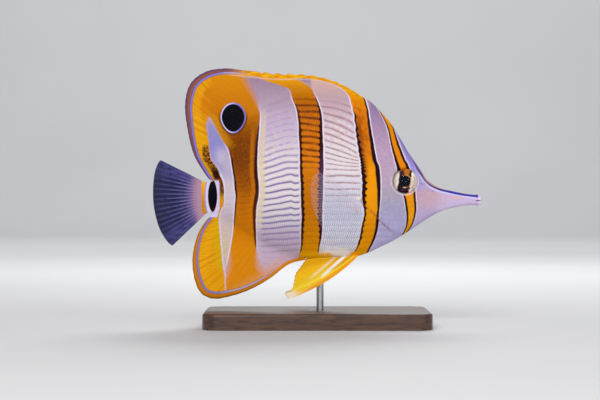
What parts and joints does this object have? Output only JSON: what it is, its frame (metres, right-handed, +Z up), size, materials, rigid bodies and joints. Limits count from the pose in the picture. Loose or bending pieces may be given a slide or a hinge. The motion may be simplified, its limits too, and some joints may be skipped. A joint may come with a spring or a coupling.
{
  "type": "copperband butterflyfish model on a display stand",
  "caption": "Still, life-size copperband butterflyfish with banded sides, a long snout and spread fins, held by a short steel rod on a plain dark wood base.",
  "frame": {"origin": "middle of the base's underside, at the bottom centre of the bounding box", "axes": "+X from the tail to the snout, +Y to the fish's left side, +Z up"},
  "size_m": [0.1646, 0.066, 0.1288],
  "materials": {
    "scaled_skin": "lavender-white skin with copper-orange bands, fine scales and a soft wet sheen",
    "orange_fin": "orange fin with a blue-violet line inside its margin",
    "yellow_fin": "yellow fin with pale streaks along its rays",
    "blue_fin": "thin blue-violet fin with pale rays",
    "clear_fin": "thin, nearly clear fin with fine pale rays",
    "eye": "glossy eye with a dark pupil and a cream and orange iris",
    "stand_wood": "satin dark walnut",
    "stand_steel": "brushed"
  },
  "bodies": {
    "root": {"head": "scaled_skin", "trunk": "scaled_skin", "tail_stalk": "scaled_skin", "dorsal_fin_spiny": "orange_fin", "dorsal_fin_soft": "orange_fin", "anal_fin": "orange_fin", "tail_fin": "blue_fin", "pectoral_fin_left": "clear_fin", "pectoral_fin_right": "clear_fin", "pelvic_fin_left": "yellow_fin", "pelvic_fin_right": "yellow_fin", "eye_left": "eye", "eye_right": "eye", "stand_base": "stand_wood", "stand_rod": "stand_steel"}
  },
  "joints": []
}
